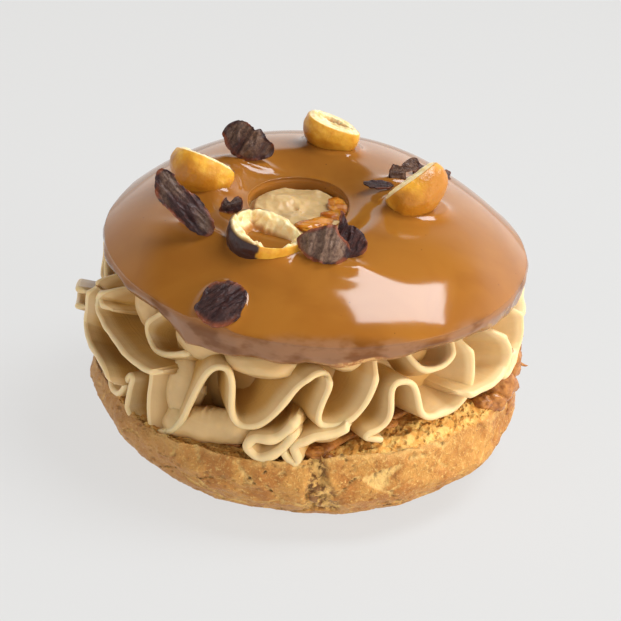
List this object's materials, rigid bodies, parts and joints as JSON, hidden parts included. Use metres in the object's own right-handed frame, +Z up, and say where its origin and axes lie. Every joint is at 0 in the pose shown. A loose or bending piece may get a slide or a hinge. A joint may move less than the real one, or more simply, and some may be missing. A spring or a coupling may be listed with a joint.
{
  "type": "paris-brest pastry",
  "caption": "Split ring of choux pastry filled with tall ruffles of piped praline cream, its top glazed with caramel and scattered with halved hazelnuts and flakes of nut skin.",
  "frame": {"origin": "middle of the flat underside that it rests on", "axes": "+Z up; -Y is the front, the side where the crust of the base is split; +X is to the right of a viewer at the front"},
  "size_m": [0.1038, 0.1002, 0.074],
  "materials": {
    "choux": "dry baked crust, golden brown, lumpy and split",
    "caramel_glaze": "smooth shining caramel glaze over choux",
    "praline": "wet dark praline paste",
    "cream": "smooth satin piped cream",
    "hazelnut": "roasted nut, pale cut face and toasted side",
    "hazelnut_skin": "dark papery wrinkled skin"
  },
  "bodies": {
    "root": {"choux_base": "choux", "choux_top": "caramel_glaze", "praline_layer": "praline", "praline_cream": "cream", "hazelnut_1": "hazelnut", "hazelnut_2": "hazelnut", "hazelnut_3": "hazelnut", "hazelnut_4": "hazelnut", "nut_skin_1": "hazelnut_skin", "nut_skin_2": "hazelnut_skin", "nut_skin_3": "hazelnut_skin", "nut_skin_4": "hazelnut_skin", "nut_skin_5": "hazelnut_skin", "nut_skin_6": "hazelnut_skin", "nut_skin_7": "hazelnut_skin", "nut_skin_8": "hazelnut_skin"}
  },
  "joints": []
}
